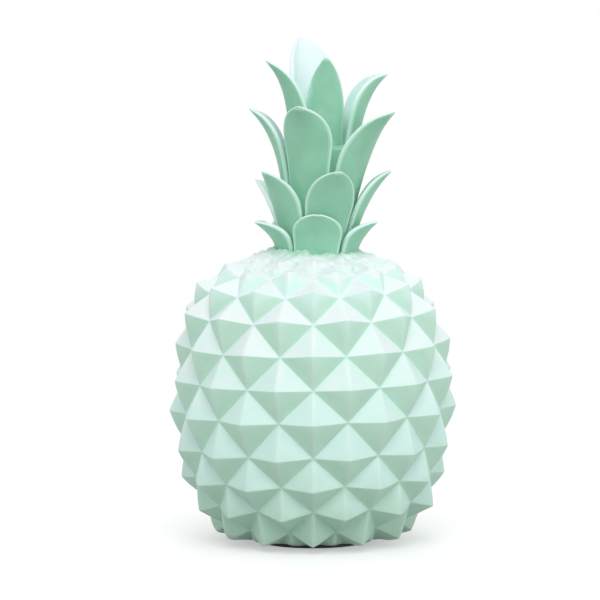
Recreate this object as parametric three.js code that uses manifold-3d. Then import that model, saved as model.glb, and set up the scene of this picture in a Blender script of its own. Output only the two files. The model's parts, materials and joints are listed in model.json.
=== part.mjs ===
// A pineapple ornament: a hollow cast body covered in diamond spikes, a leaning crown of
// separate cupped leaves seated in a core, and a felt disc under the base.
// Millimetres, +Z up, origin at the middle of the face that it rests on, front towards -Y.
import * as THREE from 'three';
import { mergeVertices } from 'three/addons/utils/BufferGeometryUtils.js';
import Module from 'manifold-3d';

const wasm = await Module();
wasm.setup();

// Body
const bodyRadius = 64.8;
const bodyHeight = 145.8;
const wallThickness = 5;
const floorThickness = 6;
const ventRadius = 5;

// Diamond lattice
const cellsRound = 12;
const spikeHeight = 6.6;
const ridgeBulge = 0.6;
const bellyBulge = 1.3;
const latticeTilt = THREE.MathUtils.degToRad(1.1);

// Felt disc
const feltRadius = 29;
const feltThickness = 1.2;
const glueGap = 0.3;

// Crown: its height is from the neck to the highest tip, its reach from its axis to the tips.
const crownHeight = 104;
const crownReach = 36;
const crownSink = 1;
const crownShift = 1.8;
const crownLean = THREE.MathUtils.degToRad(3.8);
const crownClearance = 0.3;
const stemRadius = 13;
const budRadius = 12.5;
const heartRadius = 9;
const collarDepth = 4;
const spigotRadius = 12;
const spigotDepth = 13;
const coreTipRadius = 6;
const coreHeightShare = 0.56;
const stemHeightShare = 0.88;

// Leaves
const leafHalfWidth = 13;
const leafThickness = 3;
const leafTipThickness = 1.8;
const leafTipHalfWidth = 0.7;
const leafSideClearance = 0.45;
const leafRootSink = 2.3;
const whorlGap = 0.6;
const leafRimShare = 0.85;
const leafTipDepthShare = 0.6;
const leafWidestShare = 0.45;
const leafShoulder = 0.75;
const leafTipCup = THREE.MathUtils.degToRad(44);
const leafWrapLimit = THREE.MathUtils.degToRad(54);

// Fineness of the meshes
const revolveSegments = 36;
const cavitySteps = 14;
const coreTipSteps = 4;
const leafStations = 9;
const leafColumns = 6;

// The groove line of the body from the base to the neck: radius and height as shares of the
// body's own.
const outlineShares = [
  [0.52, 0],
  [0.7, 0.072],
  [0.845, 0.145],
  [0.925, 0.235],
  [0.975, 0.342],
  [1, 0.454],
  [0.99, 0.561],
  [0.953, 0.673],
  [0.885, 0.771],
  [0.785, 0.86],
  [0.665, 0.907],
  [0.5, 0.949],
  [0.385, 0.978],
  [0.31, 1],
];

// Each row of spikes from the base up: its distance along the outline from the row below, and
// its spike, as shares of an even pitch and of the spike height. Sway moves the flanks of a row
// towards +X, as a share of the body's radius: the rows were modelled by hand.
const rowShares = [
  { pitch: 0, spike: 0.85, sway: 0 },
  { pitch: 0.81, spike: 1.4, sway: 0 },
  { pitch: 1.02, spike: 1.1, sway: 0.025 },
  { pitch: 0.89, spike: 0.97, sway: 0 },
  { pitch: 0.955, spike: 0.98, sway: 0 },
  { pitch: 1.09, spike: 1.03, sway: 0 },
  { pitch: 1.01, spike: 1.08, sway: 0.006 },
  { pitch: 1.02, spike: 1.05, sway: 0 },
  { pitch: 1.015, spike: 1.2, sway: -0.025 },
  { pitch: 0.87, spike: 1.0, sway: -0.03 },
  { pitch: 0.81, spike: 0.85, sway: -0.012 },
  { pitch: 0.76, spike: 0.5, sway: -0.02 },
  { pitch: 0.76, spike: 0.1, sway: 0 },
];

// The whorls of the crown from the neck up. Turn is in degrees round the crown from the front.
// Root and height are shares of the crown's height, reach of its reach, and width of a leaf's
// half width. Low and high are the handles of the keel's curve, as shares of the leaf's own
// reach and height. Fullness sets how blunt the blade is: a pointed leaf has a small one. Cup
// is the share of the usual cupping that the tip has.
const whorlShares = [
  {
    seat: 'collar',
    root: 0,
    width: 1,
    fullness: 2.2,
    low: [0.06, 0.4],
    high: [0.42, 0.8],
    leaves: [
      { turn: 359, height: 0.179, reach: 0.83, fullness: 1.75 },
      { turn: 73, height: 0.146, reach: 0.86, fullness: 1.5 },
      { turn: 144, height: 0.11, reach: 0.86 },
      { turn: 216, height: 0.092, reach: 0.89 },
      { turn: 288, height: 0.107, reach: 0.93, fullness: 1.9 },
    ],
  },
  {
    seat: 'stem',
    root: 0,
    width: 1,
    fullness: 2.2,
    low: [0.18, 0.36],
    high: [0.46, 0.78],
    leaves: [
      { turn: 13, height: 0.404, reach: 1, fullness: 2.4 },
      { turn: 88, height: 0.4, reach: 0.97 },
      { turn: 161, height: 0.356, reach: 1 },
      { turn: 233, height: 0.293, reach: 1.14, width: 0.8 },
      { turn: 305, height: 0.37, reach: 1.015 },
    ],
  },
  {
    seat: 'stem',
    root: 0.128,
    width: 1.12,
    fullness: 2,
    low: [0.12, 0.36],
    high: [0.28, 0.78],
    leaves: [
      { turn: 337, height: 0.695, reach: 1, fullness: 3.2 },
      { turn: 56, height: 0.692, reach: 1.125 },
      { turn: 137, height: 0.6, reach: 1.03 },
      { turn: 201, height: 0.62, reach: 1 },
      { turn: 267, height: 0.647, reach: 1.055, fullness: 3 },
    ],
  },
  {
    seat: 'stem',
    root: 0.349,
    width: 0.9,
    fullness: 1.8,
    low: [0.04, 0.42],
    high: [0.14, 0.8],
    leaves: [
      { turn: 96, height: 0.855, reach: 0.82, fullness: 2, width: 1.3, cup: 1.5 },
      { turn: 205, height: 0.73, reach: 0.89 },
      { turn: 295, height: 0.888, reach: 0.955, width: 0.85 },
    ],
  },
  {
    seat: 'bud',
    root: 0.465,
    width: 0.77,
    fullness: 1.5,
    low: [0.14, 0.36],
    high: [0.4, 0.78],
    leaves: [
      { turn: 355, height: 0.927, reach: 0.53 },
      { turn: 212, height: 0.99, reach: 0.805, width: 1.15, fullness: 2.3 },
    ],
  },
  {
    seat: 'heart',
    root: 0.52,
    width: 0.55,
    fullness: 1.7,
    low: [0.1, 0.4],
    high: [0.3, 0.8],
    leaves: [
      { turn: 2, height: 0.7, reach: 0.26 },
      { turn: 124, height: 0.72, reach: 0.26 },
      { turn: 241, height: 0.68, reach: 0.28 },
    ],
  },
];

const bodyColour = '#b4dccb';
const leafColour = '#86c2a5';
const feltColour = '#4a4d4b';

// Shapes go to the boolean library as welded triangles and come back the same way.
function toSolid(geometry) {
  const plain = geometry.clone();
  plain.deleteAttribute('normal');
  plain.deleteAttribute('uv');
  const welded = mergeVertices(plain);
  const vertProperties = new Float32Array(welded.attributes.position.array);
  const triVerts = new Uint32Array(welded.index.array);
  return new wasm.Manifold(new wasm.Mesh({ numProp: 3, vertProperties, triVerts }));
}

function fromTriangles(positions, index) {
  const geometry = new THREE.BufferGeometry();
  geometry.setAttribute('position', new THREE.Float32BufferAttribute(positions, 3));
  geometry.setIndex(new THREE.Uint32BufferAttribute(index, 1));
  geometry.computeVertexNormals();
  return geometry;
}

function toGeometry(solid) {
  const mesh = solid.getMesh();
  return fromTriangles(mesh.vertProperties, mesh.triVerts);
}

// Turns a profile of radius and height round Z. It runs from the axis below to the axis above.
function revolved(profile) {
  const points = profile.map(([radius, height]) => new THREE.Vector2(radius, height));
  const geometry = new THREE.LatheGeometry(points, revolveSegments);
  geometry.rotateX(Math.PI / 2);
  return geometry;
}

function standingCylinder(radius, height) {
  const geometry = new THREE.CylinderGeometry(radius, radius, height, revolveSegments);
  geometry.rotateX(Math.PI / 2);
  return geometry;
}

function named(name, geometry, colour, roughness) {
  const material = new THREE.MeshStandardMaterial({ color: colour, roughness, metalness: 0 });
  const mesh = new THREE.Mesh(geometry, material);
  mesh.name = name;
  return mesh;
}

// Levels and radii that follow from the sizes above
const baseLevel = feltThickness + glueGap;
const crownLevel = bodyHeight - crownSink;
const stemSeatRadius = stemRadius + crownClearance + leafThickness;
const collarRadius = stemSeatRadius + whorlGap + leafThickness;
const seatRadii = {
  collar: collarRadius,
  stem: stemSeatRadius,
  bud: budRadius,
  heart: heartRadius,
};

const crown = new THREE.Group();
crown.position.set(crownShift, 0, crownLevel);
crown.rotation.y = crownLean;
crown.updateMatrixWorld(true);

// Body outline, in the XZ plane
const outline = new THREE.CatmullRomCurve3(
  outlineShares.map(([radiusShare, heightShare]) => new THREE.Vector3(
    bodyRadius * radiusShare,
    0,
    THREE.MathUtils.lerp(baseLevel, bodyHeight, heightShare),
  )),
  false,
  'centripetal',
);

// The point and the outward direction at a share of the outline's length.
function outlineAt(share) {
  const point = outline.getPointAt(share);
  const along = outline.getTangentAt(share);
  return { radius: point.x, height: point.z, outRadius: along.z, outHeight: -along.x };
}

// In each row the grooves cross at every other half cell and the spikes stand between the
// crossings. The lowest row is cut off flat at the base.
function latticeRows() {
  const whole = rowShares.reduce((sum, { pitch }) => sum + pitch, 0);
  let run = 0;
  return rowShares.map(({ pitch, spike, sway }, row) => {
    run += pitch;
    const at = outlineAt(Math.min(run / whole, 1));
    const rise = spike * spikeHeight;
    const onBase = row === 0;
    return {
      crossing: { radius: at.radius, height: at.height },
      spike: {
        radius: at.radius + rise * (onBase ? 1 : at.outRadius),
        height: at.height + rise * (onBase ? 0 : at.outHeight),
      },
      sway: sway * bodyRadius,
      tilt: onBase || row === rowShares.length - 1 ? 0 : Math.tan(latticeTilt),
      offset: row % 2,
    };
  });
}

// The outer surface of the body: each cell is a diamond of four faces round a spike, and each
// face is split in four, with its ridges bowed out a little.
function latticeGeometry() {
  const rows = latticeRows();
  const stepsRound = 2 * cellsRound;
  const positions = [];
  const index = [];
  const made = new Map();

  function vertex(key, makePoint) {
    if (!made.has(key)) {
      const point = makePoint();
      made.set(key, { id: positions.length / 3, point });
      positions.push(point.x, point.y, point.z);
    }
    return made.get(key);
  }

  // Steps count half cells round the body from the front.
  function corner(row, step) {
    const wrapped = THREE.MathUtils.euclideanModulo(step, stepsRound);
    return vertex(`${row}:${wrapped}`, () => {
      const { crossing, spike, sway, tilt, offset } = rows[row];
      const place = wrapped % 2 === offset ? crossing : spike;
      const angle = (2 * Math.PI * wrapped) / stepsRound;
      const x = place.radius * Math.sin(angle) + sway * Math.sin(angle) ** 2;
      return new THREE.Vector3(x, -place.radius * Math.cos(angle), place.height + tilt * x);
    });
  }

  function middle(a, b, bulge) {
    const [low, high] = [a.id, b.id].sort((one, other) => one - other);
    return vertex(`${low}-${high}`, () => {
      const point = a.point.clone().lerp(b.point, 0.5);
      const outward = new THREE.Vector3(point.x, point.y, 0).normalize();
      return point.addScaledVector(outward, bulge);
    });
  }

  // A face spans two groove crossings and rises to the spike. The ridge below the spike is the
  // fullest one.
  function face(first, second, spike, below) {
    const groove = middle(first, second, 0);
    const left = middle(first, spike, first === below ? bellyBulge : ridgeBulge);
    const right = middle(second, spike, second === below ? bellyBulge : ridgeBulge);
    index.push(first.id, groove.id, left.id);
    index.push(groove.id, second.id, right.id);
    index.push(left.id, right.id, spike.id);
    index.push(groove.id, right.id, left.id);
  }

  // A flat end over the neck or under the base.
  function closeEnd(row, up) {
    const centre = vertex(`end ${row}`, () => new THREE.Vector3(0, 0, rows[row].crossing.height));
    for (let step = 0; step < stepsRound; step += 1) {
      const ends = [corner(row, step), corner(row, step + 1)];
      const between = middle(...ends, ridgeBulge);
      const [a, b] = up ? ends : ends.reverse();
      index.push(centre.id, a.id, between.id, centre.id, between.id, b.id);
    }
  }

  const top = rows.length - 1;
  rows.forEach(({ offset }, row) => {
    for (let cell = 0; cell < cellsRound; cell += 1) {
      const step = 2 * cell + 1 - offset;
      const spike = corner(row, step);
      const west = corner(row, step - 1);
      const east = corner(row, step + 1);
      if (row > 0) {
        const south = corner(row - 1, step);
        face(west, south, spike, south);
        face(south, east, spike, south);
      }
      if (row < top) {
        const north = corner(row + 1, step);
        face(east, north, spike);
        face(north, west, spike);
      }
    }
  });
  closeEnd(0, false);
  closeEnd(top, true);
  return fromTriangles(positions, index);
}

// The hollow follows the outline one wall in, with a flat floor and a flat roof that leaves the
// neck thick enough for the crown's socket.
function cavityGeometry() {
  const floor = baseLevel + floorThickness;
  const roof = crownLevel - spigotDepth - crownClearance;
  const wall = [];
  for (let step = 0; step <= cavitySteps; step += 1) {
    const at = outlineAt(step / cavitySteps);
    const radius = at.radius - wallThickness * at.outRadius;
    const height = at.height - wallThickness * at.outHeight;
    if (height > floor && height < roof) {
      wall.push([radius, height]);
    }
  }
  const [lowestRadius] = wall[0];
  const [highestRadius] = wall[wall.length - 1];
  return revolved([
    [0, floor],
    [lowestRadius - wallThickness, floor],
    ...wall,
    [highestRadius - wallThickness, roof],
    [0, roof],
  ]);
}

// The room that the crown's spigot and collar take in the neck, in the crown's own frame. It
// runs on down into the hollow and up past the neck.
function neckRoomGeometry() {
  const bottom = -spigotDepth - collarDepth;
  const ledge = -collarDepth - crownClearance;
  return revolved([
    [0, bottom],
    [spigotRadius + crownClearance, bottom],
    [spigotRadius + crownClearance, ledge],
    [collarRadius + crownClearance, ledge],
    [collarRadius + crownClearance, crownHeight],
    [0, crownHeight],
  ]);
}

// The vent in the floor, which the felt covers. Its cutter runs past both faces by one wall.
function ventGeometry() {
  const geometry = standingCylinder(ventRadius, floorThickness + 2 * wallThickness);
  geometry.translate(0, 0, baseLevel + floorThickness / 2);
  return geometry;
}

function bodyGeometry() {
  const [lowest] = whorlShares;
  const crownRooms = [
    neckRoomGeometry(),
    ...lowest.leaves.map((leaf) => leafGeometry(lowest, leaf, crownClearance)),
  ];
  let solid = toSolid(latticeGeometry())
    .subtract(toSolid(cavityGeometry()))
    .subtract(toSolid(ventGeometry()));
  crownRooms.forEach((room) => {
    room.applyMatrix4(crown.matrixWorld);
    solid = solid.subtract(toSolid(room));
  });
  return toGeometry(solid);
}

// A leaf's keel runs up from its root and curls out to its tip, in a plane through the axis.
function keelCurve(whorl, leaf, grow) {
  const root = new THREE.Vector2(
    seatRadii[whorl.seat],
    whorl.root * crownHeight - leafRootSink - grow,
  );
  const tip = new THREE.Vector2(leaf.reach * crownReach, leaf.height * crownHeight);
  const handle = ([out, up]) => new THREE.Vector2(
    THREE.MathUtils.lerp(root.x, tip.x, out),
    THREE.MathUtils.lerp(root.y, tip.y, up),
  );
  return new THREE.CubicBezierCurve(root, handle(whorl.low), handle(whorl.high), tip);
}

// Half the angle that a leaf may take round the crown, beside its nearer neighbour.
function halfWrap(whorl, leaf) {
  const halfGaps = whorl.leaves.filter((other) => other !== leaf).map((other) => {
    const turn = THREE.MathUtils.euclideanModulo(other.turn - leaf.turn, 360);
    return THREE.MathUtils.degToRad(Math.min(turn, 360 - turn) / 2);
  });
  const room = Math.min(...halfGaps) - leafSideClearance / seatRadii[whorl.seat];
  return Math.min(leafWrapLimit, room);
}

// One section of a leaf, as a closed ring of points: an arc that opens towards the crown's axis,
// thick at the keel and thinner at the rims. Grow sets it out on every side.
function leafSection(whorl, leaf, keel, t, grow) {
  const { width, fullness, cup: tipCup } = { cup: 1, ...whorl, ...leaf };
  const wrap = halfWrap(whorl, leaf);
  const at = keel.getPoint(t);
  const along = keel.getTangent(t);
  const cup = THREE.MathUtils.lerp(wrap, tipCup * leafTipCup, t * t);
  const beyondWidest = Math.max(0, (t - leafWidestShare) / (1 - leafWidestShare));
  const narrowing = Math.pow(1 - Math.pow(beyondWidest, fullness), leafShoulder);
  const room = at.x * Math.tan(wrap) / (1 + Math.tan(wrap) * Math.tan(cup / 2) * along.y);
  const blade = Math.min(room, leafHalfWidth * width * narrowing);
  const halfWidth = Math.max(blade, leafTipHalfWidth) + grow;
  const arcRadius = halfWidth / Math.sin(cup);
  const keelThickness = Math.min(
    THREE.MathUtils.lerp(leafThickness, leafTipThickness, t * t),
    leafTipDepthShare * arcRadius,
  );

  const place = (depth, side) => new THREE.Vector3(
    at.x + along.y * depth,
    side,
    at.y - along.x * depth,
  );
  const outer = [];
  const inner = [];
  for (let column = 0; column <= leafColumns; column += 1) {
    const across = (2 * column) / leafColumns - 1;
    const angle = cup * across;
    const thickness = keelThickness * THREE.MathUtils.lerp(1, leafRimShare, across * across);
    const innerRadius = arcRadius - thickness - 2 * grow;
    const centreDepth = grow - arcRadius;
    outer.push(place(centreDepth + arcRadius * Math.cos(angle), arcRadius * Math.sin(angle)));
    inner.push(place(centreDepth + innerRadius * Math.cos(angle), innerRadius * Math.sin(angle)));
  }
  return [...outer, ...inner.reverse()];
}

// A leaf is lofted through its sections and closed at the root and the tip.
function leafGeometry(whorl, leaf, grow) {
  const keel = keelCurve(whorl, leaf, grow);
  const ringSize = 2 * (leafColumns + 1);
  const tipRing = leafStations * ringSize;
  const positions = [];
  const index = [];
  for (let station = 0; station <= leafStations; station += 1) {
    const ring = leafSection(whorl, leaf, keel, station / leafStations, grow);
    ring.forEach((point) => positions.push(point.x, point.y, point.z));
  }
  for (let station = 0; station < leafStations; station += 1) {
    for (let i = 0; i < ringSize; i += 1) {
      const a = station * ringSize + i;
      const b = station * ringSize + ((i + 1) % ringSize);
      index.push(a, b, b + ringSize, a, b + ringSize, a + ringSize);
    }
  }
  for (let i = 0; i < leafColumns; i += 1) {
    const j = ringSize - 1 - i;
    index.push(i, j, i + 1, i + 1, j, j - 1);
    index.push(tipRing + i, tipRing + i + 1, tipRing + j);
    index.push(tipRing + i + 1, tipRing + j - 1, tipRing + j);
  }
  const geometry = fromTriangles(positions, index);
  geometry.rotateZ(THREE.MathUtils.degToRad(leaf.turn - 90));
  return geometry;
}

// A leaf gives way, with a clearance, to the leaves of the whorl below that it grows behind.
function fittedLeafGeometry(tier, leaf) {
  const whorl = whorlShares[tier];
  const below = tier > 0 ? whorlShares[tier - 1] : null;
  const whole = toSolid(leafGeometry(whorl, leaf, 0));
  if (!below) {
    return toGeometry(whole);
  }
  return toGeometry(below.leaves.reduce(
    (solid, front) => solid.subtract(toSolid(leafGeometry(below, front, crownClearance))),
    whole,
  ));
}

// The core: spigot, collar, stem and a bud with a round tip, with a pocket for the root of each
// leaf.
function coreGeometry() {
  const coreHeight = crownHeight * coreHeightShare;
  const stemTop = coreHeight * stemHeightShare;
  const tip = [];
  for (let step = 0; step <= coreTipSteps; step += 1) {
    const angle = (step / coreTipSteps) * (Math.PI / 2);
    tip.push([coreTipRadius * Math.cos(angle), coreHeight + coreTipRadius * Math.sin(angle)]);
  }
  tip[coreTipSteps][0] = 0;
  const blank = toSolid(revolved([
    [0, -spigotDepth],
    [spigotRadius, -spigotDepth],
    [spigotRadius, -collarDepth],
    [collarRadius, -collarDepth],
    [collarRadius, 0],
    [stemRadius + leafThickness, 0],
    [stemRadius + leafThickness, stemTop],
    ...tip,
  ]));
  const pockets = whorlShares.flatMap((whorl) => whorl.leaves.map(
    (leaf) => toSolid(leafGeometry(whorl, leaf, crownClearance)),
  ));
  return toGeometry(pockets.reduce((solid, pocket) => solid.subtract(pocket), blank));
}

function feltDisc() {
  const disc = named('felt_disc', standingCylinder(feltRadius, feltThickness), feltColour, 0.95);
  disc.position.z = feltThickness / 2;
  return disc;
}

crown.add(named('crown_core', coreGeometry(), leafColour, 0.7));
whorlShares.forEach((whorl, tier) => whorl.leaves.forEach((leaf, place) => {
  const name = `leaf_${tier + 1}_${place + 1}`;
  crown.add(named(name, fittedLeafGeometry(tier, leaf), leafColour, 0.7));
}));

const pineapple = new THREE.Group();
pineapple.add(feltDisc());
pineapple.add(named('body_shell', bodyGeometry(), bodyColour, 0.75));
pineapple.add(crown);

export default pineapple;
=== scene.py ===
"""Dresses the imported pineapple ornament: cast resin painted in mint tones, on a felt disc.

The body skin, the crown core and every leaf are copies of their frame nodes, taken further with
edit-mode operators and applied modifiers, so each keeps its node's place and nearly its size.
Lengths are in metres, except where a name ends in mm.
"""
import json
import logging
import math
from collections.abc import Callable
from dataclasses import dataclass, field
from enum import Enum

import bmesh
import bpy
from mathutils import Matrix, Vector

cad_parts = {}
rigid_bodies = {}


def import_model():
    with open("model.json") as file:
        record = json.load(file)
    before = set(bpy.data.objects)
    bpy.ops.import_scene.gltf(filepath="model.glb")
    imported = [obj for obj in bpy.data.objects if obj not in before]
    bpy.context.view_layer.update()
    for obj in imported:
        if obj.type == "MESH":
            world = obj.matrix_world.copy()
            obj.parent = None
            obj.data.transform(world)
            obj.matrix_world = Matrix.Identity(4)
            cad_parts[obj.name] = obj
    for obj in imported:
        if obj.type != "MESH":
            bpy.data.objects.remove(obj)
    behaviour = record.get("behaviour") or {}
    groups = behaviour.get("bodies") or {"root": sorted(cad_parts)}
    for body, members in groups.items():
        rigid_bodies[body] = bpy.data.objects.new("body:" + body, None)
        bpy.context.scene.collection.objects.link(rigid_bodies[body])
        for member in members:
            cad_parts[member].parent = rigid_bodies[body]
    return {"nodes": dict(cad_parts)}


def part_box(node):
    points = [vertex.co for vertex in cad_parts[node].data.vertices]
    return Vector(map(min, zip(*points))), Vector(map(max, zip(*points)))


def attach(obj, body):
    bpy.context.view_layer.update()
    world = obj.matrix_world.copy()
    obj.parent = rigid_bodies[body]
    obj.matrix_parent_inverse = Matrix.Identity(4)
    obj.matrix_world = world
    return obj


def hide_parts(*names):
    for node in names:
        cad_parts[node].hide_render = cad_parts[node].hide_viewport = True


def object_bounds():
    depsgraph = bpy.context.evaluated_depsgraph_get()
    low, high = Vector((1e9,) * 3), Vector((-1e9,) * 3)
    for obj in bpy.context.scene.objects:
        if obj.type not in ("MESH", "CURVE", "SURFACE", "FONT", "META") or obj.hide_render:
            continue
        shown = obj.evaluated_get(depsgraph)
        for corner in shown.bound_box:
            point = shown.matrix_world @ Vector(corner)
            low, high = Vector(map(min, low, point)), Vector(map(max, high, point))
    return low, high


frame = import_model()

MM = 0.001
CAD_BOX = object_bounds()
LOG = logging.getLogger("pineapple")

# A Mix node has sockets of the same name for each kind of data, so its colours go by index.
MIX_FIRST = 6
MIX_SECOND = 7
MIX_COLOUR = 2

# The texture value at which a displaced corner stays where it is.
STILL = 0.5

MeshPart = bmesh.types.BMVert | bmesh.types.BMEdge | bmesh.types.BMFace


def linear(hex_colour: str) -> tuple[float, float, float, float]:
    """Turns an sRGB hex colour to the linear colour that a shader takes.

    The numbers in the curve are those of the sRGB standard.

    Args:
        hex_colour: six hex digits after a hash sign.

    Returns:
        Red, green, blue and alpha, each from 0 to 1.
    """
    channels = [int(hex_colour[i : i + 2], 16) / 255 for i in (1, 3, 5)]
    curve = [c / 12.92 if c <= 0.04045 else ((c + 0.055) / 1.055) ** 2.4 for c in channels]
    return (curve[0], curve[1], curve[2], 1.0)


def deselect_all() -> None:
    """Goes to object mode, with nothing selected."""
    if bpy.context.object and bpy.context.object.mode != "OBJECT":
        bpy.ops.object.mode_set(mode="OBJECT")
    bpy.ops.object.select_all(action="DESELECT")


def activate(piece: bpy.types.Object) -> None:
    """Makes one object the only selected one and the active one.

    Args:
        piece: the object.
    """
    deselect_all()
    piece.select_set(True)
    bpy.context.view_layer.objects.active = piece


def copy_of_node(node: str, name: str, weld: float = 0.004 * MM) -> bpy.types.Object:
    """Starts a piece as a merged copy of a frame node.

    Args:
        node: the frame node's name.
        name: the new piece's name.
        weld: the distance under which corners are merged.

    Returns:
        The new object, active and in object mode.
    """
    source = frame["nodes"][node]
    piece = bpy.data.objects.new(name, source.data.copy())
    piece.data.name = name
    piece.data.materials.clear()
    bpy.context.scene.collection.objects.link(piece)
    activate(piece)
    bpy.ops.object.mode_set(mode="EDIT")
    bpy.ops.mesh.select_all(action="SELECT")
    bpy.ops.mesh.remove_doubles(threshold=weld)
    bpy.ops.object.mode_set(mode="OBJECT")
    return piece


def select_where(piece: bpy.types.Object, kind: str, wanted: Callable[[MeshPart], bool]) -> int:
    """Selects in edit mode the parts of one kind that a test picks, and only those.

    Args:
        piece: the object, in edit mode.
        kind: VERT, EDGE or FACE.
        wanted: takes a part of that kind and says whether it is picked.

    Returns:
        How many parts are selected.
    """
    bpy.ops.mesh.select_mode(type=kind)
    bpy.ops.mesh.select_all(action="DESELECT")
    mesh = bmesh.from_edit_mesh(piece.data)
    parts = {"VERT": mesh.verts, "EDGE": mesh.edges, "FACE": mesh.faces}[kind]
    picked = [part for part in parts if wanted(part)]
    for part in picked:
        part.select_set(True)
    bmesh.update_edit_mesh(piece.data)
    return len(picked)


def apply_modifier(piece: bpy.types.Object, kind: str, **settings) -> None:
    """Adds one modifier and applies it.

    Args:
        piece: the object, which is left active and in object mode.
        kind: the modifier's type.
        settings: the modifier's properties.
    """
    modifier = piece.modifiers.new(kind.title(), kind)
    for key, value in settings.items():
        setattr(modifier, key, value)
    activate(piece)
    bpy.ops.object.modifier_apply(modifier=modifier.name)


def add_node(tree: bpy.types.NodeTree, kind: str, links: dict | None = None, **settings) -> bpy.types.Node:
    """Adds a shader node, sets its values and links its inputs.

    Args:
        tree: the material's or world's node tree.
        kind: the node's type, without the ShaderNode prefix.
        links: input name or index to the socket that feeds it.
        settings: a property of the node, or an input's name with its spaces as underscores.

    Returns:
        The new node.
    """
    node = tree.nodes.new(f"ShaderNode{kind}")
    for key, value in settings.items():
        if hasattr(node, key):
            setattr(node, key, value)
        else:
            node.inputs[key.replace("_", " ")].default_value = value
    for key, socket in (links or {}).items():
        tree.links.new(socket, node.inputs[key])
    return node


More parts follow.
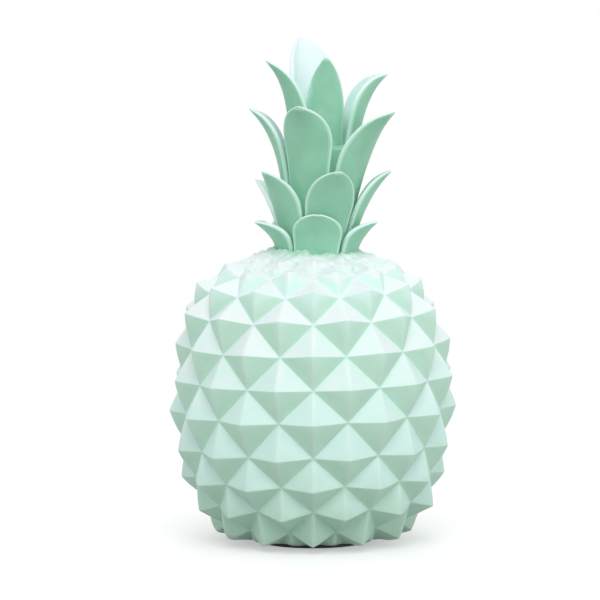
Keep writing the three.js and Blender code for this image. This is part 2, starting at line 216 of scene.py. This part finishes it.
@dataclass(frozen=True)
class CastPaint:
    """Sprayed acrylic paint on cast resin: a mint coat, painted paler where faces look up, as highlight.

    The matte coat spreads light widely, so faces stay soft and only a broad dull sheen shows.
    A faint painted highlight pales whatever faces up at all and the rims of the leaves, a stronger
    painted highlight only what faces well up, and the crests are painted paler as highlight too.
    The coat is a little darker in patches, where it went on thicker, and the deepest grooves are
    painted darker as shade. From the overspray's height up, the darker mint of the leaves has
    drifted onto it; unless that height is given, it lies above the ornament. The grain is drawn at
    0.9 mm, coarser than real spray grain, so that it shows.
    """

    name: str
    coat: str
    faint_highlight_tint: str
    top_highlight_tint: str
    thick_coat_and_groove_shade: str
    faint_highlight_low: float = -0.1
    faint_highlight_high: float = 0.25
    top_highlight_low: float = 0.3
    top_highlight_high: float = 0.75
    crest_highlight_from: float = 0.504
    crest_highlight_to: float = 0.512
    crest_highlight_share: float = 0.2
    groove_shade_from: float = 0.485
    groove_shade_to: float = 0.44
    groove_shade_share: float = 0.55
    rim_highlight_from: float = 0.45
    rim_highlight_to: float = 0.92
    rim_highlight_share: float = 0.85
    patch_low: float = 0.4
    patch_share: float = 0.2
    overspray: str = "#96d0b3"
    overspray_from_mm: float = 1000.0
    overspray_to_mm: float = 1001.0
    overspray_ragged_mm: float = 1.5
    overspray_share: float = 0.75
    noise_low: float = 0.3
    noise_high: float = 0.7
    mottle_mm: float = 14.0
    mottle_detail: float = 3.0
    mottle_fineness: float = 0.55
    mottle_share: float = 0.09
    grain_mm: float = 0.9
    grain_detail: float = 4.0
    grain_fineness: float = 0.6
    grain_depth_mm: float = 0.12
    grain_strength: float = 0.16
    roughness: float = 0.52
    smoother: float = 0.05
    rougher: float = 0.07
    ior: float = 1.47

    def build(self) -> bpy.types.Material:
        """Builds the paint's node tree.

        Returns:
            The material.
        """
        material = bpy.data.materials.new(self.name)
        material.use_nodes = True
        tree = material.node_tree
        shader = tree.nodes["Principled BSDF"]
        place = add_node(tree, "TexCoord")
        relief = add_node(tree, "NewGeometry")
        up = add_node(tree, "SeparateXYZ", {0: place.outputs["Normal"]})
        mottle = add_node(
            tree, "TexNoise", {"Vector": place.outputs["Object"]},
            Scale=1 / (self.mottle_mm * MM), Detail=self.mottle_detail, Roughness=self.mottle_fineness,
        )
        drift = add_node(
            tree, "MapRange", {"Value": mottle.outputs["Fac"]},
            From_Min=self.noise_low, From_Max=self.noise_high,
            To_Min=-self.mottle_share, To_Max=self.mottle_share,
        )
        # Pointiness paints the crests paler: a painted highlight along the ridges.
        painted_crest_highlight = add_node(
            tree, "MapRange", {"Value": relief.outputs["Pointiness"]},
            From_Min=self.crest_highlight_from, From_Max=self.crest_highlight_to, To_Min=0.0, To_Max=self.crest_highlight_share,
        )
        facing = add_node(
            tree, "Math", {0: up.outputs["Z"], 1: drift.outputs["Result"]}, operation="ADD",
        )
        # Faces that look up are painted paler in two steps: a painted highlight of the light from above.
        painted_faint_highlight = add_node(
            tree, "MapRange", {"Value": facing.outputs["Value"]},
            interpolation_type="SMOOTHSTEP", From_Min=self.faint_highlight_low, From_Max=self.faint_highlight_high,
        )
        painted_top_highlight = add_node(
            tree, "MapRange", {"Value": facing.outputs["Value"]},
            interpolation_type="SMOOTHSTEP", From_Min=self.top_highlight_low, From_Max=self.top_highlight_high,
        )
        painted_top_and_crest_highlight = add_node(
            tree, "Math", {0: painted_top_highlight.outputs["Result"], 1: painted_crest_highlight.outputs["Result"]},
            operation="ADD", use_clamp=True,
        )
        patchy = add_node(
            tree, "MapRange", {"Value": mottle.outputs["Fac"]},
            From_Min=self.patch_low, From_Max=self.noise_high, To_Min=0.0, To_Max=self.patch_share,
        )
        coat = add_node(tree, "Mix", {"Factor": patchy.outputs["Result"]}, data_type="RGBA")
        coat.inputs[MIX_FIRST].default_value = linear(self.coat)
        coat.inputs[MIX_SECOND].default_value = linear(self.thick_coat_and_groove_shade)
        # The leaves' rims are painted paler: a painted highlight where the rims catch light.
        rim = add_node(tree, "Attribute", attribute_name="rim")
        painted_rim_highlight = add_node(
            tree, "MapRange", {"Value": rim.outputs["Fac"]}, interpolation_type="SMOOTHSTEP",
            From_Min=self.rim_highlight_from, From_Max=self.rim_highlight_to, To_Min=0.0, To_Max=self.rim_highlight_share,
        )
        painted_faint_and_rim_highlight = add_node(
            tree, "Math", {0: painted_faint_highlight.outputs["Result"], 1: painted_rim_highlight.outputs["Result"]},
            operation="MAXIMUM",
        )
        first = add_node(
            tree, "Mix", {"Factor": painted_faint_and_rim_highlight.outputs["Value"], MIX_FIRST: coat.outputs[MIX_COLOUR]},
            data_type="RGBA",
        )
        first.inputs[MIX_SECOND].default_value = linear(self.faint_highlight_tint)
        paint = add_node(
            tree, "Mix", {"Factor": painted_top_and_crest_highlight.outputs["Value"], MIX_FIRST: first.outputs[MIX_COLOUR]},
            data_type="RGBA",
        )
        paint.inputs[MIX_SECOND].default_value = linear(self.top_highlight_tint)
        # The deepest grooves are painted darker: painted shade in the creases.
        painted_groove_shade = add_node(
            tree, "MapRange", {"Value": relief.outputs["Pointiness"]},
            From_Min=self.groove_shade_from, From_Max=self.groove_shade_to, To_Min=0.0, To_Max=self.groove_shade_share,
        )
        groove_shaded = add_node(
            tree, "Mix", {"Factor": painted_groove_shade.outputs["Result"], MIX_FIRST: paint.outputs[MIX_COLOUR]},
            data_type="RGBA",
        )
        groove_shaded.inputs[MIX_SECOND].default_value = linear(self.thick_coat_and_groove_shade)
        level = add_node(tree, "SeparateXYZ", {0: place.outputs["Object"]})
        ragged = add_node(
            tree, "Math", {0: drift.outputs["Result"], 2: level.outputs["Z"]},
            operation="MULTIPLY_ADD",
        )
        ragged.inputs[1].default_value = self.overspray_ragged_mm * MM / self.mottle_share
        drifted = add_node(
            tree, "MapRange", {"Value": ragged.outputs["Value"]}, interpolation_type="SMOOTHSTEP",
            From_Min=self.overspray_from_mm * MM, From_Max=self.overspray_to_mm * MM,
            To_Min=0.0, To_Max=self.overspray_share,
        )
        overspray = add_node(
            tree, "Mix", {"Factor": drifted.outputs["Result"], MIX_FIRST: groove_shaded.outputs[MIX_COLOUR]},
            data_type="RGBA",
        )
        overspray.inputs[MIX_SECOND].default_value = linear(self.overspray)
        grain = add_node(
            tree, "TexNoise", {"Vector": place.outputs["Object"]},
            Scale=1 / (self.grain_mm * MM), Detail=self.grain_detail, Roughness=self.grain_fineness,
        )
        peel = add_node(
            tree, "Bump", {"Height": grain.outputs["Fac"]},
            Strength=self.grain_strength, Distance=self.grain_depth_mm * MM,
        )
        dull = add_node(
            tree, "MapRange", {"Value": grain.outputs["Fac"]},
            From_Min=self.noise_low, From_Max=self.noise_high,
            To_Min=self.roughness - self.smoother, To_Max=self.roughness + self.rougher,
        )
        tree.links.new(overspray.outputs[MIX_COLOUR], shader.inputs["Base Color"])
        tree.links.new(peel.outputs["Normal"], shader.inputs["Normal"])
        tree.links.new(dull.outputs["Result"], shader.inputs["Roughness"])
        shader.inputs["IOR"].default_value = self.ior
        return material


@dataclass(frozen=True)
class PressedFelt:
    """Pressed wool felt: short matted fibres, which give it a soft edge and no gloss."""

    name: str
    wool: str
    fibre: str
    fibre_mm: float = 0.6
    fibre_detail: float = 5.0
    fibre_fineness: float = 0.75
    fibre_curl: float = 1.5
    nap_mm: float = 0.3
    nap_strength: float = 0.6
    roughness: float = 0.95
    sheen: float = 0.4

    def build(self) -> bpy.types.Material:
        """Builds the felt's node tree.

        Returns:
            The material.
        """
        material = bpy.data.materials.new(self.name)
        material.use_nodes = True
        tree = material.node_tree
        shader = tree.nodes["Principled BSDF"]
        place = add_node(tree, "TexCoord")
        fibres = add_node(
            tree, "TexNoise", {"Vector": place.outputs["Object"]}, Scale=1 / (self.fibre_mm * MM),
            Detail=self.fibre_detail, Roughness=self.fibre_fineness, Distortion=self.fibre_curl,
        )
        tone = add_node(tree, "Mix", {"Factor": fibres.outputs["Fac"]}, data_type="RGBA")
        tone.inputs[MIX_FIRST].default_value = linear(self.wool)
        tone.inputs[MIX_SECOND].default_value = linear(self.fibre)
        nap = add_node(
            tree, "Bump", {"Height": fibres.outputs["Fac"]},
            Strength=self.nap_strength, Distance=self.nap_mm * MM,
        )
        tree.links.new(tone.outputs[MIX_COLOUR], shader.inputs["Base Color"])
        tree.links.new(nap.outputs["Normal"], shader.inputs["Normal"])
        shader.inputs["Roughness"].default_value = self.roughness
        shader.inputs["Sheen Weight"].default_value = self.sheen
        return material


class Crease(Enum):
    """The kinds of edge on the body's diamonds, with how wide each is rounded, in mm."""

    LEVEL_RIDGE = 0.55
    STEEP_RIDGE = 2.1
    GROOVE = 0.8


@dataclass
class Body:
    """The diamond-spiked skin of the body, closed over the neck and the vent."""

    node: str = "body_shell"
    flat_angle: float = math.radians(24)
    level_angle: float = math.radians(8)
    level_rise: float = 0.45
    quad_skew: float = math.radians(90)
    neck_height: float = 139 * MM
    base_height: float = 2.5 * MM
    bevel_steps: int = 2
    sliver: float = 0.06 * MM
    smooth_levels: int = 2
    unevenness: float = 0.35 * MM
    unevenness_size: float = 9 * MM
    lumps: float = 2.6 * MM
    lump_size: float = 4 * MM
    lumps_from: float = 132 * MM
    lumps_full: float = 141 * MM
    pieces: list[bpy.types.Object] = field(default_factory=list)

    def build(self, paint: bpy.types.Material) -> None:
        """Builds the skin from a copy of the node and dresses it.

        Args:
            paint: the body's paint.
        """
        skin = copy_of_node(self.node, "body_skin")
        self.keep_outside(skin)
        self.round_edges(skin)
        self.make_uneven(skin)
        self.add_lumps(skin)
        bpy.ops.object.shade_smooth()
        skin.data.materials.append(paint)
        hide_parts(self.node)
        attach(skin, "root")
        self.pieces.append(skin)

    def keep_outside(self, skin: bpy.types.Object) -> None:
        """Takes out the hollow's walls and closes the vent and the neck.

        Args:
            skin: the body's skin, in object mode.
        """
        low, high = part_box(self.node)
        middle = (Vector(low) + Vector(high)) / 2
        bpy.ops.object.mode_set(mode="EDIT")

        def looks_in(face: bmesh.types.BMFace) -> bool:
            """Says whether a face looks towards the middle of the body."""
            return face.normal.dot(middle - face.calc_center_median()) > 0

        select_where(skin, "FACE", looks_in)
        bpy.ops.mesh.delete(type="FACE")
        bpy.ops.mesh.select_all(action="DESELECT")
        mesh = bmesh.from_edit_mesh(skin.data)
        widest = max(mesh.faces, key=lambda face: abs(face.calc_center_median().x))
        widest.select_set(True)
        bmesh.update_edit_mesh(skin.data)
        bpy.ops.mesh.select_linked()
        bpy.ops.mesh.select_all(action="INVERT")
        bpy.ops.mesh.delete(type="FACE")
        bpy.ops.mesh.select_all(action="SELECT")
        bpy.ops.mesh.fill_holes(sides=0)
        bpy.ops.mesh.quads_convert_to_tris()
        # The fill leaves the rim of the neck open, so one face closes it.
        bpy.ops.mesh.select_mode(type="EDGE")
        bpy.ops.mesh.select_all(action="DESELECT")
        bpy.ops.mesh.select_non_manifold(
            extend=False, use_wire=False, use_multi_face=False,
            use_non_contiguous=False, use_verts=False,
        )
        bpy.ops.mesh.edge_face_add()
        bpy.ops.object.mode_set(mode="OBJECT")

    def kind_of(self, edge: bmesh.types.BMEdge) -> Crease | None:
        """Says which kind of crease an edge of the lattice is.

        Args:
            edge: an edge of the skin.

        Returns:
            Its kind, or None where the surface is nearly flat or is neck or base.
        """
        if len(edge.link_faces) != 2:
            return None
        bend = edge.calc_face_angle_signed()
        first, second = (vert.co for vert in edge.verts)
        if abs(bend) < self.flat_angle or max(first.z, second.z) > self.neck_height:
            return None
        if min(first.z, second.z) < self.base_height:
            return None
        if bend < 0:
            return Crease.GROOVE
        rise = abs(first.z - second.z) / (first - second).length
        return Crease.LEVEL_RIDGE if rise < self.level_rise else Crease.STEEP_RIDGE

    def round_edges(self, skin: bpy.types.Object) -> None:
        """Weights each kind of crease and bevels them all.

        Args:
            skin: the body's skin, in object mode.
        """
        widest = max(kind.value for kind in Crease)
        bpy.ops.object.mode_set(mode="EDIT")
        for kind in Crease:
            found = select_where(skin, "EDGE", lambda edge, kind=kind: self.kind_of(edge) is kind)
            bpy.ops.transform.edge_bevelweight(value=kind.value / widest)
            LOG.info("%s: %d edges", kind.name.lower(), found)
        bpy.ops.object.mode_set(mode="OBJECT")
        apply_modifier(
            skin, "BEVEL", limit_method="WEIGHT", width=widest * MM, segments=self.bevel_steps,
            use_clamp_overlap=False, offset_type="WIDTH",
        )
        bpy.ops.object.mode_set(mode="EDIT")
        bpy.ops.mesh.select_all(action="SELECT")
        bpy.ops.mesh.remove_doubles(threshold=self.sliver)
        # Pairs of nearly level triangles become quads, which keeps the skin's count down.
        bpy.ops.mesh.tris_convert_to_quads(
            face_threshold=self.level_angle, shape_threshold=self.quad_skew,
        )
        bpy.ops.object.mode_set(mode="OBJECT")

    def make_uneven(self, skin: bpy.types.Object) -> None:
        """Rounds the facets and gives them the slight waviness of a hand-made master.

        Args:
            skin: the body's skin, in object mode.
        """
        apply_modifier(
            skin, "SUBSURF", levels=self.smooth_levels, render_levels=self.smooth_levels,
        )
        waves = bpy.data.textures.new("casting_waves", "CLOUDS")
        waves.noise_scale = self.unevenness_size
        apply_modifier(
            skin, "DISPLACE", texture=waves, texture_coords="LOCAL",
            strength=self.unevenness, mid_level=STILL,
        )

    def add_lumps(self, skin: bpy.types.Object) -> None:
        """Raises the small uneven lumps that ring the neck where the crown grows out of it.

        Args:
            skin: the body's skin, in object mode.
        """
        neck = skin.vertex_groups.new(name="neck")
        for corner in skin.data.vertices:
            share = (corner.co.z - self.lumps_from) / (self.lumps_full - self.lumps_from)
            if share > 0:
                neck.add([corner.index], min(share, 1.0), "REPLACE")
        lumps = bpy.data.textures.new("neck_lumps", "VORONOI")
        lumps.noise_scale = self.lump_size
        apply_modifier(
            skin, "DISPLACE", texture=lumps, texture_coords="LOCAL",
            strength=-self.lumps, mid_level=STILL, vertex_group="neck",
        )


@dataclass
class Crown:
    """The crown: a core with a bud, and the cupped leaves of its whorls."""

    core_bevel: float = 0.25 * MM
    core_bevel_angle: float = math.radians(35)
    core_bevel_steps: int = 2
    core_smooth_angle: float = math.radians(40)
    quad_fold: float = math.radians(50)
    quad_skew: float = math.radians(100)
    quad_flow: float = 1.5
    rim_angle: float = math.radians(50)
    rim_crease: float = 0.3
    smooth_levels: int = 3
    swell: float = 0.08 * MM
    headroom: float = 0.02 * MM
    tip_lifts: dict[str, float] = field(default_factory=lambda: {"leaf_1_": 0.5, "leaf_2_": 0.1})
    tip_reach: float = 2 * MM
    tip_beside: float = 9 * MM
    tip_smooth: float = 0.5
    pieces: list[bpy.types.Object] = field(default_factory=list)

    def leaf_nodes(self) -> list[str]:
        """Names the frame nodes that are leaves."""
        return sorted(name for name in frame["nodes"] if name.startswith("leaf_"))

    def build(self, paint: bpy.types.Material, heart_paint: bpy.types.Material) -> None:
        """Builds the core and each leaf and dresses them.

        Args:
            paint: the leaves' paint.
            heart_paint: the core's, the crown's paint without its painted highlight.
        """
        self.finish(self.core(), "crown_core", heart_paint)
        for node in self.leaf_nodes():
            self.finish(self.leaf(node), node, paint)

    def finish(self, piece: bpy.types.Object, node: str, paint: bpy.types.Material) -> None:
        """Paints a piece and sets it on the body in place of its node.

        Args:
            piece: the core or a leaf.
            node: the frame node that it replaces.
            paint: its paint.
        """
        piece.data.materials.append(paint)
        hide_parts(node)
        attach(piece, "root")
        self.pieces.append(piece)

    def core(self) -> bpy.types.Object:
        """Rounds the edges of the core.

        Returns:
            The finished core.
        """
        core = copy_of_node("crown_core", "crown_heart")
        apply_modifier(
            core, "BEVEL", limit_method="ANGLE", angle_limit=self.core_bevel_angle,
            width=self.core_bevel, segments=self.core_bevel_steps,
        )
        activate(core)
        bpy.ops.object.shade_smooth_by_angle(angle=self.core_smooth_angle)
        return core

    def leaf(self, node: str) -> bpy.types.Object:
        """Rounds a leaf's rims and smooths its blade.

        Args:
            node: the leaf's frame node.

        Returns:
            The finished leaf.
        """
        leaf = copy_of_node(node, f"{node}_blade")
        bpy.ops.object.mode_set(mode="EDIT")
        bpy.ops.mesh.select_all(action="SELECT")
        bpy.ops.mesh.tris_convert_to_quads(
            face_threshold=self.quad_fold, shape_threshold=self.quad_skew,
            topology_influence=self.quad_flow,
        )

        def on_rim(edge: bmesh.types.BMEdge) -> bool:
            """Says whether an edge lies between a leaf's face and its rim."""
            return len(edge.link_faces) == 2 and edge.calc_face_angle() > self.rim_angle

        select_where(leaf, "EDGE", on_rim)
        bpy.ops.transform.edge_crease(value=self.rim_crease)
        bpy.ops.object.mode_set(mode="OBJECT")
        self.mark_rim(leaf)
        for whorl, share in self.tip_lifts.items():
            if node.startswith(whorl):
                self.lift_tip(leaf, share)
        apply_modifier(
            leaf, "SUBSURF", levels=self.smooth_levels, render_levels=self.smooth_levels,
        )
        # The swell is held back where it would take the leaf past the top of the solids' box.
        highest = max(corner.co.z for corner in leaf.data.vertices)
        room = CAD_BOX[1][2] - highest - self.headroom
        apply_modifier(leaf, "DISPLACE", strength=min(self.swell, room), mid_level=0.0)
        activate(leaf)
        bpy.ops.object.shade_smooth()
        return leaf

    def lift_tip(self, leaf: bpy.types.Object, share: float) -> None:
        """Raises the very tip towards the level of the rims beside it, so that the top is round.

        The tip is where the corners lie closest together, because the leaf's rings narrow there.

        Args:
            leaf: the leaf, in object mode.
            share: how much of the way it goes.
        """
        corners = [corner.co.copy() for corner in leaf.data.vertices]
        rings = [
            [other for other in corners if (other - place).length < self.tip_reach]
            for place in corners
        ]
        end = max(rings, key=len)
        tip = sum(end, Vector()) / len(end)
        beside = [
            place for place in corners if self.tip_reach < (place - tip).length < self.tip_beside
        ]
        along = (tip - sum(beside, Vector()) / len(beside)).normalized()
        up = Vector((0, 0, 1))
        inward = (up - up.dot(along) * along).normalized()
        rise = max((place - tip).dot(inward) for place in beside)
        activate(leaf)
        bpy.ops.object.mode_set(mode="EDIT")
        select_where(leaf, "VERT", lambda corner: (corner.co - tip).length < self.tip_reach)
        bpy.ops.transform.translate(
            value=inward * rise * share, use_proportional_edit=True,
            proportional_edit_falloff="SMOOTH", proportional_size=self.tip_beside,
        )
        select_where(leaf, "VERT", lambda corner: (corner.co - tip).length < self.tip_beside)
        bpy.ops.mesh.vertices_smooth(factor=self.tip_smooth)
        bpy.ops.object.mode_set(mode="OBJECT")

    def mark_rim(self, leaf: bpy.types.Object) -> None:
        """Gives the corners of the selected edges a rim value of 1, for the painted rim highlight to
        follow.

        Args:
            leaf: the leaf, in object mode.
        """
        rim = leaf.data.attributes.new("rim", "FLOAT", "POINT")
        for edge in leaf.data.edges:
            if edge.select:
                for corner in edge.vertices:
                    rim.data[corner].value = 1.0


@dataclass
class FeltPad:
    """The felt disc under the base."""

    node: str = "felt_disc"
    bevel: float = 0.3 * MM
    bevel_steps: int = 3
    smooth_angle: float = math.radians(40)
    pieces: list[bpy.types.Object] = field(default_factory=list)

    def build(self, felt: bpy.types.Material) -> None:
        """Softens the disc's rim and gives it its felt.

        Args:
            felt: the felt's material.
        """
        pad = copy_of_node(self.node, "felt_pad")
        apply_modifier(
            pad, "BEVEL", limit_method="ANGLE", width=self.bevel, segments=self.bevel_steps,
        )
        activate(pad)
        bpy.ops.object.shade_smooth_by_angle(angle=self.smooth_angle)
        pad.data.materials.append(felt)
        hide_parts(self.node)
        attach(pad, "root")
        self.pieces.append(pad)


@dataclass(frozen=True)
class SoftLamp:
    """A square soft lamp: its place, its power in watts and its side."""

    name: str
    place: tuple[float, float, float]
    power: float
    side: float = 0.8


LAMPS = (
    SoftLamp("overhead", (0, -0.9, 1.2), 7.3),
    SoftLamp("side", (1.4, -0.7, 0.4), 2.4),
    SoftLamp("back", (0, 0.9, 1.2), 2.6),
)


@dataclass
class Studio:
    """The floor, the lamps, the white surroundings and the camera."""

    distance: float = 2332.8 * MM
    look_down: float = math.radians(6.13)
    aim: Vector = field(default_factory=lambda: Vector((-6.39, 0, 119.9)) * MM)
    focal_px: float = 4706.9
    image_px: int = 600
    sensor_mm: float = 36.0
    floor_size: float = 2.0
    floor_roughness: float = 0.9
    fade_from: float = 0.16
    fade_to: float = 0.6
    surround: float = 0.72
    near_floor: float = 0.08
    far_floor: float = 0.16
    shaded_near_grey: float = 0.42
    far_grey: float = 0.5
    floor_white: float = 0.62
    floor_lift: float = 0.42

    def build(self) -> None:
        """Builds the whole studio."""
        self.add_camera()
        self.add_floor()
        self.add_surroundings()
        for lamp in LAMPS:
            self.add_lamp(lamp)

    def add_camera(self) -> None:
        """Places the camera where the photograph was taken from."""
        data = bpy.data.cameras.new("camera")
        data.sensor_width = self.sensor_mm
        data.lens = self.focal_px / self.image_px * self.sensor_mm
        camera = bpy.data.objects.new("camera", data)
        back = Vector((0, -math.cos(self.look_down), math.sin(self.look_down)))
        camera.location = self.aim + back * self.distance
        camera.rotation_euler = (math.radians(90) - self.look_down, 0, 0)
        bpy.context.scene.collection.objects.link(camera)
        bpy.context.scene.camera = camera

    def add_lamp(self, soft: SoftLamp) -> None:
        """Adds a lamp and turns it to the middle of the ornament.

        Args:
            soft: the lamp.
        """
        data = bpy.data.lights.new(soft.name, "AREA")
        data.shape = "SQUARE"
        data.size = soft.side
        data.energy = soft.power
        lamp = bpy.data.objects.new(soft.name, data)
        lamp.location = soft.place
        aside = self.aim - Vector(soft.place)
        lamp.rotation_euler = aside.to_track_quat("-Z", "Y").to_euler()
        bpy.context.scene.collection.objects.link(lamp)

    def add_floor(self) -> None:
        """Lays a pale matte floor under the felt, which fades out into the surroundings.

        The camera sees it whiter than it is to the light, so that it throws less of that back onto
        the ornament than so white a floor would.
        """
        deselect_all()
        bpy.ops.mesh.primitive_plane_add(size=self.floor_size, location=(0, 0, 0))
        floor = bpy.context.object
        floor.name = "floor"
        material = bpy.data.materials.new("pale_floor")
        material.use_nodes = True
        tree = material.node_tree
        shader = tree.nodes["Principled BSDF"]
        shader.inputs["Roughness"].default_value = self.floor_roughness
        ray = add_node(tree, "LightPath")
        seen = add_node(
            tree, "Math", {0: ray.outputs["Is Camera Ray"], 1: ray.outputs["Is Glossy Ray"]},
            operation="MAXIMUM",
        )
        place = add_node(tree, "TexCoord")
        away = add_node(tree, "VectorMath", {0: place.outputs["Object"]}, operation="LENGTH")
        # Near the ornament the floor is greyer to the light: painted shade that darkens the ornament's
        # lowest faces.
        bounce_grey_shaded_near = add_node(
            tree, "MapRange", {"Value": away.outputs["Value"]}, interpolation_type="SMOOTHSTEP",
            From_Min=self.near_floor, From_Max=self.far_floor,
            To_Min=self.shaded_near_grey, To_Max=self.far_grey,
        )
        shade = add_node(
            tree, "Mix", {"Factor": seen.outputs["Value"], MIX_FIRST: bounce_grey_shaded_near.outputs["Result"]},
            data_type="RGBA",
        )
        white = self.floor_white
        shade.inputs[MIX_SECOND].default_value = (white, white, white, 1.0)
        tree.links.new(shade.outputs[MIX_COLOUR], shader.inputs["Base Color"])
        fade = add_node(
            tree, "MapRange", {"Value": away.outputs["Value"]},
            interpolation_type="SMOOTHSTEP", From_Min=self.fade_from, From_Max=self.fade_to,
        )
        clear = add_node(tree, "BsdfTransparent")
        lift = add_node(tree, "Math", {0: seen.outputs["Value"]}, operation="MULTIPLY")
        lift.inputs[1].default_value = self.floor_lift
        glow = add_node(tree, "Emission", {"Strength": lift.outputs["Value"]})
        lifted = add_node(
            tree, "AddShader", {0: shader.outputs["BSDF"], 1: glow.outputs["Emission"]},
        )
        both = add_node(
            tree, "MixShader",
            {0: fade.outputs["Result"], 1: lifted.outputs["Shader"], 2: clear.outputs["BSDF"]},
        )
        tree.links.new(both.outputs["Shader"], tree.nodes["Material Output"].inputs["Surface"])
        floor.data.materials.append(material)

    def add_surroundings(self) -> None:
        """Makes the surroundings white to the camera and an even fill to everything else."""
        world = bpy.data.worlds.new("surroundings")
        bpy.context.scene.world = world
        world.use_nodes = True
        tree = world.node_tree
        tree.nodes.clear()
        ray = add_node(tree, "LightPath")
        seen = add_node(
            tree, "Math", {0: ray.outputs["Is Camera Ray"], 1: ray.outputs["Is Glossy Ray"]},
            operation="MAXIMUM",
        )
        fill = add_node(tree, "Background", Strength=self.surround)
        white = add_node(tree, "Background", Strength=1.0)
        for background in (fill, white):
            background.inputs["Color"].default_value = linear("#ffffff")
        both = add_node(
            tree, "MixShader",
            {0: seen.outputs["Value"], 1: fill.outputs["Background"], 2: white.outputs["Background"]},
        )
        out = add_node(tree, "OutputWorld")
        tree.links.new(both.outputs["Shader"], out.inputs["Surface"])


def main() -> None:
    """Builds every sub-assembly in order and reports its pieces."""
    logging.basicConfig(level=logging.INFO, format="%(name)s: %(message)s")
    bpy.context.scene.view_settings.view_transform = "Standard"
    body_paint = CastPaint(
        "body_mint_paint", "#c3e9d5", "#d3f3eb", "#e8f2f3", "#a9cbb9",
        overspray_from_mm=142.0, overspray_to_mm=146.5,
    ).build()
    crown_paint = CastPaint(
        "crown_mint_paint", "#96d0b3", "#c9f2e1", "#e2f3f3", "#78b890",
        faint_highlight_low=-0.1, faint_highlight_high=0.12, top_highlight_low=-0.02, top_highlight_high=0.32, crest_highlight_share=0.0,
        patch_share=0.35,
    ).build()
    # The heart is the crown's paint left without its painted highlight, a shaded copy: all its coats are
    # one mint, so it stays dark.
    heart_paint = CastPaint(
        "heart_mint_paint", "#96d0b3", "#96d0b3", "#96d0b3", "#78b890",
        crest_highlight_share=0.0, patch_share=0.35,
    ).build()
    felt = PressedFelt("grey_wool_felt", "#3f4240", "#6a6e6b").build()
    body, crown, pad = Body(), Crown(), FeltPad()
    body.build(body_paint)
    crown.build(crown_paint, heart_paint)
    pad.build(felt)
    for group in (body, crown, pad):
        for piece in group.pieces:
            LOG.info("%s: %d faces", piece.name, len(piece.data.polygons))
    Studio().build()


if __name__ == "__main__":
    main()
